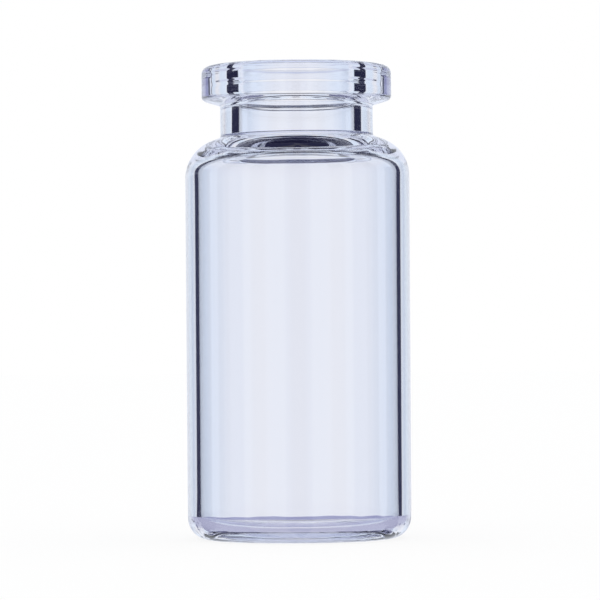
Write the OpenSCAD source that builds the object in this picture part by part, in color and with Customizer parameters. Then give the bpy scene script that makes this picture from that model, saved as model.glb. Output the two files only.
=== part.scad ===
// A clear glass sample vial for a crimped closure, blown from tube as one piece of glass.
// The wall is drawn once as a half section, from the axis out, and is turned about Z.
// Every corner of that section is a sharp point with a rounding, so each rounding is a true arc.

/* [Body] */
// Overall height, from the standing ring to the mouth
total_h = 49.5; // [46:0.5:90]
// Outside diameter of the straight body
body_d = 23.5; // [22:0.1:36]
// Thickness of the body wall
wall = 1.35; // [0.9:0.05:1.8]

/* [Base] */
// Thickness of the glass under the edge of the floor
base_t = 1.4; // [0.9:0.1:2.5]
// How far the underside is pushed up at the middle, above the standing ring
push_up = 0.2; // [0.1:0.05:1.2]
// How far the floor rises from its edge to the middle
floor_rise = 0.2; // [0.1:0.05:1]
// Width of the flat ring that the vial stands on
ring_w = 0.8; // [0.3:0.1:1.5]
// Rounding of the outside bottom edge
heel_round = 2.25; // [1:0.05:3.5]
// Rounding inside, between the floor and the wall
floor_round = 1; // [0.5:0.1:3]

/* [Shoulder] */
// Rounding of the shoulder outside
shoulder_round = 4.1; // [2:0.1:4.5]
// Slope of the shoulder where it runs up to the neck, in degrees
shoulder_slope = 19; // [5:1:30]
// Rounding of the shoulder inside
inner_round = 2; // [0.8:0.1:3]
// Slope of the ceiling inside the shoulder, in degrees
inner_slope = 9; // [2:1:20]
// Thickness of the glass between ceiling and shoulder, straight down from the root of the neck
shoulder_t = 1.55; // [1.4:0.05:2.6]

/* [Neck] */
// Outside diameter of the neck
neck_d = 16; // [14:0.1:17]
// Distance from the mouth down to the root of the neck
neck_len = 7.5; // [5.5:0.05:12]
// Diameter of the bore through the neck
bore_d = 12.1; // [10:0.1:13]
// Rounding between the neck and the shoulder outside
root_round = 0.6; // [0.3:0.1:1.4]
// Rounding of the throat, where the bore opens into the body
throat_round = 1; // [0.5:0.1:1.8]

/* [Rim] */
// Outside diameter of the rim that a crimped cap grips
rim_d = 19.9; // [18.5:0.1:21]
// Height of the rim at its outside
rim_h = 3.5; // [2.5:0.1:4.5]
// Slope of the underside of the rim, in degrees
rim_slope = 17; // [2:1:25]
// Rounding of the rim's top edge
rim_top_round = 0.8; // [0.3:0.05:1.2]
// Rounding of the rim's lower edge
rim_low_round = 0.5; // [0.2:0.05:1]
// Rounding between the underside of the rim and the neck
rim_root_round = 0.3; // [0.1:0.05:0.8]
// Rounding of the mouth, between the bore and the sealing face
mouth_round = 1.1; // [0.3:0.05:1.2]

/* [Hidden] */
$fn = 96;

body_r = body_d / 2;
inside_r = body_r - wall;
neck_r = neck_d / 2;
bore_r = bore_d / 2;
rim_r = rim_d / 2;

// Heights of the sharp corners, before they are rounded
root_z = total_h - neck_len;
shoulder_z = root_z - (body_r - neck_r) * tan(shoulder_slope);
ceiling_z = root_z - shoulder_t;
inside_top_z = ceiling_z - (inside_r - bore_r) * tan(inner_slope);
rim_low_z = total_h - rim_h;
rim_root_z = rim_low_z - (rim_r - neck_r) * tan(rim_slope);
ring_r = body_r - heel_round - ring_w;

// How far each arc bites past its straight sides, so that it crosses them and doesn't only touch
bite = 0.0005;
// How far past an arc's ends the piece that holds it reaches
margin = 0.12;

// The half section of the wall, as corners of radius, height and rounding, in order
SECTION = [
    [0, push_up, 0],
    [ring_r, 0, 0],
    [body_r, 0, heel_round],
    [body_r, shoulder_z, shoulder_round],
    [neck_r, root_z, root_round],
    [neck_r, rim_root_z, rim_root_round],
    [rim_r, rim_low_z, rim_low_round],
    [rim_r, total_h, rim_top_round],
    [bore_r, total_h, mouth_round],
    [bore_r, ceiling_z, throat_round],
    [inside_r, inside_top_z, inner_round],
    [inside_r, base_t, floor_round],
    [0, base_t + floor_rise, 0]
];

function place(c) = [c[0], c[1]];
function next_of(corners, i) = corners[(i + 1) % len(corners)];
function last_of(corners, i) = corners[(i + len(corners) - 1) % len(corners)];
function unit(v) = v / norm(v);

// Unit directions from corner i to the next corner and back to the last one
function ahead(corners, i) = unit(place(next_of(corners, i)) - place(corners[i]));
function behind(corners, i) = unit(place(last_of(corners, i)) - place(corners[i]));

// Half the angle between the two sides that meet at corner i
function half_angle(corners, i) = acos(ahead(corners, i) * behind(corners, i)) / 2;

// How much of each side the rounding of corner i takes up
function reach(corners, i) = corners[i][2] / tan(half_angle(corners, i));

// The share of its rounding that fits on the side from corner i to the next one
function side_share(corners, i) =
    let (j = (i + 1) % len(corners),
         side = norm(place(corners[j]) - place(corners[i])),
         taken = reach(corners, i) + reach(corners, j))
    taken > side ? side / taken : 1;

// The rounding of corner i, no larger than its two sides have room for
function fitted(corners, i) =
    let (last_i = (i + len(corners) - 1) % len(corners))
    corners[i][2] * min(side_share(corners, i), side_share(corners, last_i));

// The points where the rounding of corner i meets its two sides, and its centre
function trim(corners, i) = fitted(corners, i) / tan(half_angle(corners, i));
function start_of(corners, i) = place(corners[i]) + trim(corners, i) * behind(corners, i);
function end_of(corners, i) = place(corners[i]) + trim(corners, i) * ahead(corners, i);
function inward(corners, i) = unit(ahead(corners, i) + behind(corners, i));
function centre_of(corners, i) =
    place(corners[i]) + fitted(corners, i) / sin(half_angle(corners, i)) * inward(corners, i);

// Above 0 where corner i points out of the glass, and below 0 where it points into it
function bulge(corners, i) = cross(-behind(corners, i), ahead(corners, i));

function rounded(corners) = [for (i = [0:len(corners) - 1]) if (corners[i][2] > 0) i];

// A point beside the end of an arc: back along its side, and in towards the arc's centre
function beside(point, back, centre, in) =
    point + margin * back + in * margin * unit(centre - point);

// The sliver between the arc of corner i and the straight cut under it
module arc_piece(corners, i) {
    centre = centre_of(corners, i);
    start = start_of(corners, i);
    end = end_of(corners, i);
    intersection() {
        translate(centre) circle(r = fitted(corners, i) + bite);
        polygon([
            beside(start, behind(corners, i), centre, 1),
            beside(start, behind(corners, i), centre, -1),
            place(corners[i]) - margin * inward(corners, i),
            beside(end, ahead(corners, i), centre, -1),
            beside(end, ahead(corners, i), centre, 1)
        ]);
    }
}

// A closed outline whose corners are cut straight
module cut_outline(corners) {
    polygon([
        for (i = [0:len(corners) - 1])
            each (corners[i][2] > 0 ? [start_of(corners, i), end_of(corners, i)] : [place(corners[i])])
    ]);
}

// A closed outline, anticlockwise, with every corner rounded by a true arc
module round_outline(corners) {
    difference() {
        union() {
            cut_outline(corners);
            for (i = rounded(corners)) if (bulge(corners, i) > 0) arc_piece(corners, i);
        }
        for (i = rounded(corners)) if (bulge(corners, i) < 0) arc_piece(corners, i);
    }
}

module glass_vial() {
    color([0.86, 0.91, 0.97, 0.4]) rotate_extrude() round_outline(SECTION);
}

glass_vial();
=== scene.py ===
# %% [markdown]
# # A clear glass sample vial
#
# The vial is one piece of glass: a straight tube whose bottom was melted shut and whose
# other end was squeezed to a neck with a thick rim, which a crimped cap grips. This lesson
# draws the outline of its wall as half a section, turns that outline round the axis, gives
# it a clear glass, and lights it the way glass is lit: by what stands round it.
#
# Everything is in metres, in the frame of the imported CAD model: Z is the vial's axis, and
# the standing ring lies at height zero.

import math

import bpy
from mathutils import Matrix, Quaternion, Vector


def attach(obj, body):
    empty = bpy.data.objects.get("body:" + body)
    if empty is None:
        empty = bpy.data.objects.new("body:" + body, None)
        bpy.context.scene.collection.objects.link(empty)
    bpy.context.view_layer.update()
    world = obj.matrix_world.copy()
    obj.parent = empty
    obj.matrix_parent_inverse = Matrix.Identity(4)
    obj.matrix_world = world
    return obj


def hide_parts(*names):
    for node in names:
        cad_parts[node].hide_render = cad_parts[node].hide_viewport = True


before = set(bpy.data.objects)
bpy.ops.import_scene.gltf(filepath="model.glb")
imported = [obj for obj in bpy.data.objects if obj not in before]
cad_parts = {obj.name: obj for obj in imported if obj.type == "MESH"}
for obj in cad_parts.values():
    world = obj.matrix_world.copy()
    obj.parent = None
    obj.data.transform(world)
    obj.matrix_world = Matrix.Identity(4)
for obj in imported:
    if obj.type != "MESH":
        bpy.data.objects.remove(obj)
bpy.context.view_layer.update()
MM = 0.001

# %% [markdown]
# ## The half section
#
# A lathe worker would describe this vial by the corners of its cut wall and by how far each
# corner is rounded. The list goes from the axis under the floor, out and up the outside,
# over the rim, and down the inside back to the axis. A rounding is a true arc, because
# light bends on every curve of the glass and shows at once where a curve isn't smooth.

# %% Corners of the wall, in mm: radius, height, rounding
BODY_R, INSIDE_R, NECK_R, BORE_R, RIM_R = 11.75, 10.4, 8.0, 6.05, 9.95
TOP_Z, ROOT_Z = 49.5, 42.1

SECTION = [
    (0.0, 0.3, 0.0),              # underside, pushed up at the middle
    (8.85, 0.0, 0.7),             # inner edge of the standing ring
    (11.7, 0.0, 2.25),            # heel, where the tube has drawn in a little
    (BODY_R, 40.81, 4.1),         # shoulder
    (NECK_R, ROOT_Z, 0.4),        # root of the neck
    (NECK_R, 45.404, 0.3),        # under the rim
    (RIM_R, 46.0, 0.5),           # lower edge of the rim
    (RIM_R, TOP_Z, 0.8),          # top edge of the rim
    (BORE_R, TOP_Z, 0.8),         # mouth
    (BORE_R, 48.0, 0.6),          # a low ridge that the forming tool left in the bore
    (5.97, 47.7, 0.6),
    (BORE_R, 47.4, 0.6),
    (BORE_R, 40.45, 0.65),        # throat
    (INSIDE_R, 39.761, 2.0),      # inside of the shoulder
    (10.36, 1.38, 1.1),           # floor corner
    (5.0, 1.72, 6.0),             # low swell round the floor
    (0.0, 1.28, 0.0),             # middle of the floor
]
print("corners of the section:", len(SECTION))


# %% Helpers: where a rounding starts, its centre and its turn
def unit(v):
    return v / v.length


def arc_at(i):
    """Start, centre and turning angle of the rounding at corner i, in mm and radians."""
    corner = Vector(SECTION[i][:2])
    ahead = unit(Vector(SECTION[(i + 1) % len(SECTION)][:2]) - corner)
    behind = unit(Vector(SECTION[i - 1][:2]) - corner)
    half = ahead.angle(behind) / 2
    start = corner + behind * SECTION[i][2] / math.tan(half)
    centre = corner + unit(ahead + behind) * SECTION[i][2] / math.sin(half)
    turn = (math.pi - 2 * half) * (1 if -behind.cross(ahead) > 0 else -1)
    return start, centre, turn


HEEL = 2
print("the heel turns by", round(math.degrees(arc_at(HEEL)[2]), 1), "degrees")

# %% [markdown]
# ## Drawing and turning the wall
#
# By hand this is the Spin tool twice. A small plane is merged to a single point on the
# axis, and that point is extruded from corner to corner. At each rounding the Spin tool
# swings the last point round the rounding's centre, which leaves a true arc. When the
# outline is back on the axis, everything is selected and spun a full turn round Z. A Screw
# modifier would do the same, but the outline is easier to check while it is still drawn.

# %% Draw the outline with extrude and spin
ARC_STEP = math.radians(3)
STRAIGHT_STEP = 0.9           # mm
POINT_SIZE = 0.001            # of the plane that is merged to the first point, in metres


def select_none():
    bpy.ops.object.select_all(action="DESELECT")


def extrude_to(here, there):
    """Extrudes the selected point in short steps from one place of the section to another."""
    steps = max(1, math.ceil((there - here).length / STRAIGHT_STEP))
    move = (there - here) / steps * MM
    for _ in range(steps):
        bpy.ops.mesh.extrude_region_move(TRANSFORM_OT_translate={"value": (move.x, 0, move.y)})
    return there


select_none()
here = Vector(SECTION[0][:2])
bpy.ops.mesh.primitive_plane_add(size=POINT_SIZE, location=(0, 0, here.y * MM))
vial = bpy.context.object
vial.name = "vial_glass"
vial.data.name = "vial_glass"
bpy.ops.object.mode_set(mode="EDIT")
bpy.ops.mesh.select_all(action="SELECT")
bpy.ops.mesh.merge(type="CENTER")
for i in range(1, len(SECTION)):
    if SECTION[i][2] == 0:
        here = extrude_to(here, Vector(SECTION[i][:2]))
        continue
    start, centre, turn = arc_at(i)
    here = extrude_to(here, start)
    bpy.ops.mesh.spin(
        steps=max(4, math.ceil(abs(turn) / ARC_STEP)), angle=turn,
        center=(centre.x * MM, 0, centre.y * MM), axis=(0, 1, 0))
    arm = here - centre
    cos, sin = math.cos(turn), math.sin(turn)
    here = centre + Vector((arm.x * cos - arm.y * sin, arm.x * sin + arm.y * cos))
bpy.ops.object.mode_set(mode="OBJECT")
bpy.ops.object.transform_apply(location=True, rotation=True, scale=True)
print("points on the outline:", len(vial.data.vertices))

# %% Turn the outline round the axis
TURN_STEPS = 208
MERGE_DISTANCE = 0.000002     # metres
bpy.ops.object.mode_set(mode="EDIT")
bpy.ops.mesh.select_all(action="SELECT")
bpy.ops.mesh.spin(steps=TURN_STEPS, angle=2 * math.pi, center=(0, 0, 0), axis=(0, 0, 1))
bpy.ops.mesh.select_all(action="SELECT")
bpy.ops.mesh.remove_doubles(threshold=MERGE_DISTANCE)
bpy.ops.mesh.normals_make_consistent(inside=False)
bpy.ops.object.mode_set(mode="OBJECT")
bpy.ops.object.shade_smooth()
print("faces on the vial:", len(vial.data.polygons))

# %% [markdown]
# ## Unevenness of worked glass
#
# The straight wall is factory tube and almost perfect. The rim, the shoulder and the foot
# were worked in a flame, and stay slightly uneven, which is why real glass glitters there
# in broken marks and not in clean rings. A Displace modifier with a cloud texture makes
# that, held to the worked places by a vertex group, and only ever inwards, so that the
# vial doesn't grow.

# %% Helpers: a vertex group by height, a displacement and soft lumps
def weight_by_height(name, stops):
    """A vertex group whose weight runs from stop to stop: heights in mm, and weights."""
    group = vial.vertex_groups.new(name=name)
    for vertex in vial.data.vertices:
        height = vertex.co.z / MM
        weight = stops[0][1] if height <= stops[0][0] else stops[-1][1]
        for (low, w_low), (high, w_high) in zip(stops, stops[1:]):
            if low < height <= high:
                weight = w_low + (w_high - w_low) * (height - low) / (high - low)
        if weight > 0:
            group.add([vertex.index], weight, "REPLACE")


def displace(group, strength, level, direction="NORMAL", texture=None):
    """Moves a group of points by strength, in metres, times the texture's value less level."""
    bpy.ops.object.modifier_add(type="DISPLACE")
    modifier = vial.modifiers[-1]
    modifier.vertex_group = group
    modifier.direction = direction
    modifier.strength = strength
    modifier.mid_level = level
    modifier.texture_coords = "LOCAL"
    modifier.texture = texture
    bpy.ops.object.modifier_apply(modifier=modifier.name)


def lumps(group, grain, depth):
    """Pushes a group of points inwards by up to depth mm, in soft lumps of about grain mm."""
    cloud = bpy.data.textures.new(group, "CLOUDS")
    cloud.noise_scale = grain * MM
    displace(group, depth * MM, 1.0, texture=cloud)


# %% Mark the worked places and displace them
select_none()
vial.select_set(True)
bpy.context.view_layer.objects.active = vial
weight_by_height("foot", [(2.2, 1.0), (4.0, 0.0)])
weight_by_height("underside", [(0.2, 1.0), (0.6, 0.0)])
weight_by_height("shoulder", [(37.0, 0.0), (39.0, 1.0), (43.5, 1.0), (45.0, 0.0)])
weight_by_height("rim", [(44.5, 0.0), (46.0, 1.0)])
lumps("foot", 3.0, 0.04)
lumps("underside", 1.3, 0.025)
lumps("shoulder", 3.0, 0.015)
lumps("rim", 1.8, 0.012)
print("worked places:", [group.name for group in vial.vertex_groups])

# %% Lean the shoulder and set the neck a little to one side
SHOULDER_LEAN = 0.008         # mm of height for each mm along X
NECK_OFFSET = -0.045          # mm along X
BLEND_SLOPE = 0.5             # how much a blend texture rises in each metre
slant = bpy.data.textures.new("slant", "BLEND")
weight_by_height("slanted", [(37.0, 0.0), (39.0, 1.0), (43.0, 1.0), (45.0, 0.0)])
weight_by_height("neck", [(40.5, 0.0), (43.0, 1.0)])
displace("slanted", SHOULDER_LEAN / BLEND_SLOPE, 0.5, "Z", slant)
displace("neck", NECK_OFFSET * MM, 0.0, "X")
print("the neck is off the axis by", NECK_OFFSET, "mm")

# %% [markdown]
# ## Clear glass
#
# Borosilicate tube bends light a little less than window glass, and has a faint cold tint
# that only shows where there is a lot of it. One Principled shader does that: full
# transmission, no roughness, and a base colour just off white. A thin Volume Absorption
# deepens the tint where the light runs far through the glass. A very weak bump, stretched
# along the axis, stands for the fine lines that drawing the tube leaves.

# %% Make the glass
GLASS_TINT = (0.93, 0.947, 0.985, 1)
GLASS_INDEX = 1.473           # how much borosilicate glass bends light
DEEP_TINT, DEEP_DENSITY = (0.6, 0.66, 0.9, 1), 8.0
LINES_ACROSS, LINES_ALONG = 900, 12       # the drawn lines are fine across and long along
LINES_HEIGHT = 0.02 * MM
glass = bpy.data.materials.new("clear_glass")
glass.use_nodes = True
nodes, links = glass.node_tree.nodes, glass.node_tree.links
shader = nodes["Principled BSDF"]
shader.inputs["Base Color"].default_value = GLASS_TINT
shader.inputs["Roughness"].default_value = 0.0
shader.inputs["IOR"].default_value = GLASS_INDEX
shader.inputs["Transmission Weight"].default_value = 1.0

place = nodes.new("ShaderNodeTexCoord")
stretch = nodes.new("ShaderNodeMapping")
stretch.inputs["Scale"].default_value = (LINES_ACROSS, LINES_ACROSS, LINES_ALONG)
lines = nodes.new("ShaderNodeTexNoise")
lines.inputs["Scale"].default_value = 1.0
lines.inputs["Detail"].default_value = 2.0
bump = nodes.new("ShaderNodeBump")
bump.inputs["Strength"].default_value = 0.05
bump.inputs["Distance"].default_value = LINES_HEIGHT
links.new(place.outputs["Object"], stretch.inputs["Vector"])
links.new(stretch.outputs["Vector"], lines.inputs["Vector"])
links.new(lines.outputs["Fac"], bump.inputs["Height"])
links.new(bump.outputs["Normal"], shader.inputs["Normal"])

depth = nodes.new("ShaderNodeVolumeAbsorption")
depth.inputs["Color"].default_value = DEEP_TINT
depth.inputs["Density"].default_value = DEEP_DENSITY
links.new(depth.outputs["Volume"], nodes["Material Output"].inputs["Volume"])
vial.data.materials.clear()
vial.data.materials.append(glass)

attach(vial, "root")
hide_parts("glass_vial")
print("glass on:", vial.name)

# %% [markdown]
# ## The floor
#
# A plain white floor. The camera sees it nearly pure white, with the little shadow that
# clear glass leaves. Light that was thrown back inside the glass sees the table round the
# foot in a painted violet shade, painted darker where it was thrown back more than once.
# Light that went straight through sees that painted shade only where it skims the table
# right next to the foot. The floor glows these painted shades by itself, and they stand in
# for the vial's own shade on the table.
# Every other ray that comes through or off the glass passes on to the studio that the next
# step makes, and so does a look from below.

# %% Helpers for the nodes of the floor and of the studio
def join(value, socket):
    """Links a socket, or sets a plain number or colour."""
    if isinstance(value, bpy.types.NodeSocket):
        links.new(value, socket)
    elif isinstance(value, tuple):
        socket.default_value = (*value, 1)
    else:
        socket.default_value = value


def calc(operation, *values):
    node = nodes.new("ShaderNodeMath")
    node.operation = operation
    for socket, value in zip(node.inputs, values):
        join(value, socket)
    return node.outputs[0]


def both(*shares):
    """1 where all the shares are 1."""
    product = shares[0]
    for share in shares[1:]:
        product = calc("MULTIPLY", product, share)
    return product


# %% Lay the floor
FLOOR_SIZE = 6                # metres
select_none()
bpy.ops.mesh.primitive_plane_add(size=FLOOR_SIZE)
floor = bpy.context.object
floor.name = "floor"
white = bpy.data.materials.new("white_floor")
white.use_nodes = True
nodes, links = white.node_tree.nodes, white.node_tree.links
nodes.clear()
floor.data.materials.append(white)
print("floor:", tuple(round(v, 2) for v in floor.dimensions))

# %% Tell apart the rays that meet the floor
# These two reaches bound the painted shade round the foot that the glass shows.
TABLE_REACH = 0.045           # how far out the glass sees the table, in metres
EDGE_REACH = 0.022            # how far out it is tinted for light that went straight through
SKIMMING = 0.6                # above this, Facing means that light skims the floor
path = nodes.new("ShaderNodeLightPath")
side = nodes.new("ShaderNodeNewGeometry")
spot = nodes.new("ShaderNodeTexCoord")
distance = nodes.new("ShaderNodeVectorMath")
distance.operation = "LENGTH"
links.new(spot.outputs["Object"], distance.inputs[0])
slope = nodes.new("ShaderNodeLayerWeight")
away = distance.outputs["Value"]
bounces, crossings = path.outputs["Glossy Depth"], path.outputs["Transmission Depth"]
off_glass = calc("MAXIMUM", path.outputs["Is Glossy Ray"], path.outputs["Is Transmission Ray"])
unseen = calc("MAXIMUM", off_glass, side.outputs["Backfacing"])
been_inside = calc("GREATER_THAN", crossings, 0.5)
from_inside = both(been_inside, calc("GREATER_THAN", bounces, 0.5))
# Where light thrown back inside the glass meets the painted shade round the foot.
painted_shade_near = both(from_inside, calc("LESS_THAN", away, TABLE_REACH))
straight = both(been_inside, calc("LESS_THAN", bounces, 0.5))
skimming = calc("GREATER_THAN", slope.outputs["Facing"], SKIMMING)
at_foot = both(skimming, calc("LESS_THAN", away, EDGE_REACH))
again = calc("GREATER_THAN", bounces, 1.5)
print("nodes that sort the rays:", len(nodes))

# %% Give each of them its own floor, with painted shade round the foot for light from the glass
WHITE = (1.0, 1.0, 1.0)
# Painted shade of the table round the foot, as the glass shows it: half shade, deep shade, and
# shade at the foot's edge. The floor glows these colours by itself.
PAINTED_TABLE_HALF_SHADE, PAINTED_TABLE_DEEP_SHADE, PAINTED_FOOT_EDGE_SHADE = (0.5, 0.5, 0.66), (0.1, 0.1, 0.2), (0.38, 0.38, 0.58)
FLOOR_SHINE = 0.88            # the share of the floor's white that shines by itself


def shine(colour):
    """A surface that glows in one plain colour."""
    node = nodes.new("ShaderNodeEmission")
    join(colour, node.inputs["Color"])
    return node


def choose(share, one, other):
    """Mixes two shaders by a socket or a number."""
    node = nodes.new("ShaderNodeMixShader")
    join(share, node.inputs["Fac"])
    links.new(one.outputs[0], node.inputs[1])
    links.new(other.outputs[0], node.inputs[2])
    return node


lit = nodes.new("ShaderNodeBsdfDiffuse")
join(WHITE, lit.inputs["Color"])
gone = nodes.new("ShaderNodeBsdfTransparent")
# Painted shade round the foot: half shade for light thrown back once, deep shade for light
# thrown back more often.
painted_table_shade = choose(again, shine(PAINTED_TABLE_HALF_SHADE), shine(PAINTED_TABLE_DEEP_SHADE))
surface = choose(unseen, choose(FLOOR_SHINE, lit, shine(WHITE)), gone)
surface = choose(both(straight, at_foot), surface, shine(PAINTED_FOOT_EDGE_SHADE))
end = nodes.new("ShaderNodeOutputMaterial")
links.new(choose(painted_shade_near, surface, painted_table_shade).outputs[0], end.inputs["Surface"])
print("nodes in the floor:", len(nodes))

# %% [markdown]
# ## The studio
#
# Glass has next to no colour of its own: it shows the room. So it is lit with a bright
# screen behind it and dark cards beside it, and the wall of the tube then draws itself as
# a fine dark line. Here the World is that room. It is plain white for the camera
# and for the floor. For light that reaches the glass it is a pale screen all round, whose
# edges turn a little blue, with narrow dark cards that come back at each eighth of a turn,
# so that the vial draws itself the same from every side. Overhead is a dark ceiling, which
# shows in the shoulder and under the lip. What a ray has been through tells the parts of
# the vial apart: light thrown back once comes off the inside of the wall, and light that
# crossed only one wall came through solid glass, as it does at the sides of the rim. There
# it sees a dark line and a side wall, which draw the rim's ends.

# %% Open the world, and helpers for bands and colours
world = bpy.data.worlds.new("studio")
bpy.context.scene.world = world
world.use_nodes = True
nodes, links = world.node_tree.nodes, world.node_tree.links
nodes.clear()


def ramp(value, start, stop):
    """Runs from 0 at start to 1 at stop, whichever of the two is larger."""
    node = nodes.new("ShaderNodeMapRange")
    join(value, node.inputs["Value"])
    node.inputs["From Min"].default_value = min(start, stop)
    node.inputs["From Max"].default_value = max(start, stop)
    node.inputs["To Min"].default_value = 0 if start < stop else 1
    node.inputs["To Max"].default_value = 1 if start < stop else 0
    return node.outputs[0]


def band(value, low, high, soft):
    """1 between low and high, with edges that are soft degrees wide."""
    rise = ramp(value, low - soft / 2, low + soft / 2)
    return calc("MULTIPLY", rise, ramp(value, high + soft / 2, high - soft / 2))


def mix(share, one, other):
    """Mixes two colours, from the first at share 0 to the other at share 1."""
    node = nodes.new("ShaderNodeMix")
    node.data_type = "RGBA"
    join(share, node.inputs["Factor"])
    join(one, node.inputs[6])
    join(other, node.inputs[7])
    return node.outputs[2]


def outside_of(share):
    return calc("SUBTRACT", 1, share)


# %% Where a ray goes, and what it has been through
split = nodes.new("ShaderNodeSeparateXYZ")
links.new(nodes.new("ShaderNodeTexCoord").outputs["Generated"], split.inputs[0])
turned = calc("ARCTAN2", split.outputs["X"], split.outputs["Y"])
bearing = calc("ABSOLUTE", calc("DEGREES", turned))
height = calc("DEGREES", calc("ARCSINE", split.outputs["Z"]))
eighth = calc("PINGPONG", bearing, 22.5)      # 0 at each eighth of a turn, 22.5 half way
path = nodes.new("ShaderNodeLightPath")
bounces, crossings = path.outputs["Glossy Depth"], path.outputs["Transmission Depth"]
reflected, unreflected = calc("GREATER_THAN", bounces, 0.5), calc("LESS_THAN", bounces, 0.5)
once, twice = calc("COMPARE", bounces, 1.0, 0.1), calc("COMPARE", bounces, 2.0, 0.1)
thrice, trapped = calc("COMPARE", bounces, 3.0, 0.1), calc("GREATER_THAN", bounces, 5.5)
been_inside = calc("GREATER_THAN", crossings, 0.5)
one_wall = calc("COMPARE", crossings, 2.0, 0.1)
print("bearing: degrees from straight behind the vial; height: degrees from the horizon")

# %% Paint the screen
SCREEN = (0.94, 0.93, 0.945)
SCREEN_EDGE = (0.82, 0.88, 0.97)
FADED_EDGE = (0.82, 0.9, 1.0)             # the same edge for light that was thrown back
FAR_TABLE = (0.7, 0.73, 0.86)

screen = mix(ramp(eighth, 3, 16), SCREEN, mix(reflected, SCREEN_EDGE, FADED_EDGE))
screen = mix(band(height, -22, -12, 3), screen, FAR_TABLE)
print("nodes in the studio with its screen:", len(nodes))

# %% Hang the dark cards: ramps and bands are given in degrees
DARK, FAR_CARD = (0.012, 0.012, 0.035), (0.35, 0.35, 0.38)
off_inner_wall = both(reflected, calc("LESS_THAN", bounces, 3.5), one_wall)
cards = both(ramp(eighth, 9.5, 7.5), band(height, -45, 50, 4), off_inner_wall)
back_gap = both(ramp(bearing, 17, 15), band(height, -8, 60, 3))
low_gap = both(ramp(height, -10, -14), outside_of(band(bearing, 28, 62, 2)))
cards = both(cards, outside_of(calc("MAXIMUM", back_gap, low_gap)))
camera_side = calc("GREATER_THAN", bearing, 90)
level = ramp(calc("ABSOLUTE", height), 9, 5)
inside = mix(cards, screen, mix(both(camera_side, level), DARK, FAR_CARD))
broad_card = both(band(bearing, 45, 69, 2), band(height, -4, 12, 2), off_inner_wall)
inside = mix(broad_card, inside, DARK)
inside = mix(both(thrice, one_wall, band(height, -6, 14, 4)), inside, DARK)
under_cards = both(ramp(height, -8, -14), reflected, outside_of(cards))
inside = mix(under_cards, inside, FAR_TABLE)
print("and with its cards:", len(nodes))

# %% Raise the ceiling and close the sides
LOST_GLOW, SIDE_WALL = (0.8, 0.82, 0.9), (0.27, 0.27, 0.47)
overhead = mix(one_wall, ramp(height, 54, 57), ramp(height, 49, 51))
overhead = mix(once, ramp(height, 40, 45), overhead)
at_back = both(once, one_wall, ramp(bearing, 38, 33))     # it hangs lower there
overhead = mix(at_back, overhead, ramp(height, 33, 39))
lip_near = both(once, outside_of(one_wall), band(height, 28, 48, 3), ramp(bearing, 70, 65))
lip_far = both(twice, band(height, 14, 42, 3), band(bearing, 85, 155, 3))
ceiling = both(reflected, calc("MAXIMUM", overhead, calc("MAXIMUM", lip_near, lip_far)))
ceiling = calc("MAXIMUM", ceiling, both(unreflected, band(height, 36, 47, 3)))
inside = mix(ceiling, inside, DARK)
inside = mix(trapped, inside, LOST_GLOW)
solid_glass = both(unreflected, one_wall, band(height, -20, 30, 4))
inside = mix(both(solid_glass, ramp(bearing, 56, 58)), inside, SIDE_WALL)
inside = mix(both(solid_glass, band(bearing, 53.5, 57, 1)), inside, DARK)
print("and with its ceiling and sides:", len(nodes))

# %% What the outside of the glass reflects, and what the camera sees
SOFTBOX, STUDIO_WALL = (0.95, 0.95, 0.95), (0.2, 0.22, 0.4)
SCREEN_GLANCE = (0.86, 0.9, 1.0)
outside = mix(ramp(bearing, 33, 40), SCREEN_GLANCE, STUDIO_WALL)
outside = mix(band(calc("SUBTRACT", 180, bearing), 13, 58, 1.5), outside, SOFTBOX)

room = mix(been_inside, outside, inside)
plain = calc("MAXIMUM", path.outputs["Is Camera Ray"], path.outputs["Is Diffuse Ray"])
room = mix(plain, room, WHITE)
back = nodes.new("ShaderNodeBackground")
links.new(room, back.inputs["Color"])
end = nodes.new("ShaderNodeOutputWorld")
links.new(back.outputs[0], end.inputs["Surface"])
print("and in all:", len(nodes))

# %% [markdown]
# ## The camera
#
# A long lens from a little under the vial's middle, so that the mouth and the foot both
# show as very flat ellipses. The camera leans a fraction of a degree. Light may meet many
# surfaces inside a wall before it leaves, so the scene lets it, or the rim goes dark.

# %% Place the camera
EYE = Vector((0.00019, -0.360, 0.0194))       # metres, as is the point it looks at
AIM = Vector((0.00019, 0.0, 0.0250))
LEAN = math.radians(0.40)
LENS, SENSOR = 206.0, 36      # mm
MOST_BOUNCES = 24
bpy.ops.object.camera_add(location=EYE)
camera = bpy.context.object
camera.name = "camera"
camera.data.lens = LENS
camera.data.sensor_width = SENSOR
camera.data.clip_start = 0.01
camera.rotation_mode = "QUATERNION"
aimed = (AIM - EYE).to_track_quat("-Z", "Y")
camera.rotation_quaternion = aimed @ Quaternion((0, 0, 1), -LEAN)
scene = bpy.context.scene
scene.camera = camera
scene.view_settings.view_transform = "Standard"
scene.cycles.max_bounces = MOST_BOUNCES
scene.cycles.transmission_bounces = MOST_BOUNCES
scene.cycles.glossy_bounces = MOST_BOUNCES
print("camera at", tuple(round(v, 4) for v in camera.location))

# %% Update the scene
bpy.context.view_layer.update()
